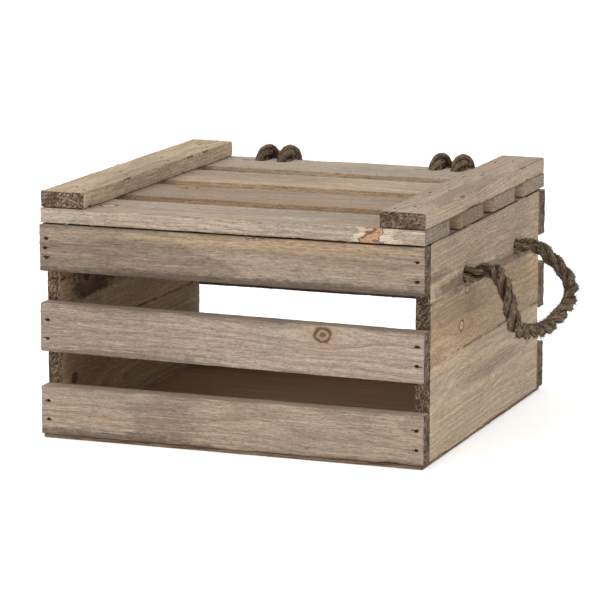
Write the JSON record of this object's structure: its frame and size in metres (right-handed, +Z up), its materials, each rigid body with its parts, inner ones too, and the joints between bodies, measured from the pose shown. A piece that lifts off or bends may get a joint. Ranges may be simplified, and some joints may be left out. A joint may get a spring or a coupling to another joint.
{
  "type": "shipping crate",
  "caption": "Slatted wooden crate with a slatted battened lid on rope hinges and a drooping rope loop handle on each end panel.",
  "frame": {"origin": "centre of the underside of the bottom board", "axes": "+X to the right end panel, +Y to the hinged back, +Z up"},
  "size_m": [0.475, 0.3854, 0.2232],
  "materials": {
    "slat_wood": "rough sawn, grey-washed softwood with brown streaks",
    "panel_wood": "rough sawn softwood, warmer and lighter on its face, dark on its end grain",
    "lid_wood": "rough sawn, grey-washed softwood",
    "bottom_board": "smooth thin board, stained brown",
    "jute_rope": "hairy three-strand natural fibre rope",
    "nail_steel": "dull dark steel brads"
  },
  "bodies": {
    "crate": {"back_slat_low": "slat_wood", "back_slat_mid": "slat_wood", "back_slat_top": "slat_wood", "bottom_board": "bottom_board", "front_slat_low": "slat_wood", "front_slat_mid": "slat_wood", "front_slat_top": "slat_wood", "hinge_rope_1": "jute_rope", "hinge_rope_2": "jute_rope", "hinge_rope_3": "jute_rope", "hinge_rope_4": "jute_rope", "nail_back_low_left_1": "nail_steel", "nail_back_low_left_2": "nail_steel", "nail_back_low_right_1": "nail_steel", "nail_back_low_right_2": "nail_steel", "nail_back_mid_left": "nail_steel", "nail_back_mid_right": "nail_steel", "nail_back_top_left_1": "nail_steel", "nail_back_top_left_2": "nail_steel", "nail_back_top_right_1": "nail_steel", "nail_back_top_right_2": "nail_steel", "nail_front_low_left_1": "nail_steel", "nail_front_low_left_2": "nail_steel", "nail_front_low_right_1": "nail_steel", "nail_front_low_right_2": "nail_steel", "nail_front_mid_left_1": "nail_steel", "nail_front_mid_left_2": "nail_steel", "nail_front_mid_right_1": "nail_steel", "nail_front_mid_right_2": "nail_steel", "nail_front_top_left_1": "nail_steel", "nail_front_top_left_2": "nail_steel", "nail_front_top_right_1": "nail_steel", "nail_front_top_right_2": "nail_steel", "rope_end_left_front": "jute_rope", "rope_end_left_rear": "jute_rope", "rope_end_right_front": "jute_rope", "rope_end_right_rear": "jute_rope", "stave_left_low": "panel_wood", "stave_left_mid": "panel_wood", "stave_left_top": "panel_wood", "stave_right_low": "panel_wood", "stave_right_mid": "panel_wood", "stave_right_top": "panel_wood"},
    "lid": {"lid_batten_left": "lid_wood", "lid_batten_right": "lid_wood", "lid_slat_front": "lid_wood", "lid_slat_mid_front": "lid_wood", "lid_slat_mid_rear": "lid_wood", "lid_slat_rear": "lid_wood", "nail_lid_1_left": "nail_steel", "nail_lid_1_right": "nail_steel", "nail_lid_2_left": "nail_steel", "nail_lid_2_right": "nail_steel", "nail_lid_3_left": "nail_steel", "nail_lid_3_right": "nail_steel", "nail_lid_4_left": "nail_steel", "nail_lid_4_right": "nail_steel"},
    "handle_right": {"handle_rope_right": "jute_rope"},
    "handle_left": {"handle_rope_left": "jute_rope"}
  },
  "joints": [
    {"name": "lid_hinge", "type": "hinge", "parent": "crate", "child": "lid", "pos_m": [0, 0.1805, 0.1948], "axis": [-1, 0, 0], "range_deg": [0, 175]},
    {"name": "handle_right_swing", "type": "hinge", "parent": "crate", "child": "handle_right", "pos_m": [0.1879, 0.012, 0.152], "axis": [0, -1, 0], "range_deg": [-41, 85]},
    {"name": "handle_left_swing", "type": "hinge", "parent": "crate", "child": "handle_left", "pos_m": [-0.1879, 0.012, 0.152], "axis": [0, 1, 0], "range_deg": [-13, 113]}
  ]
}
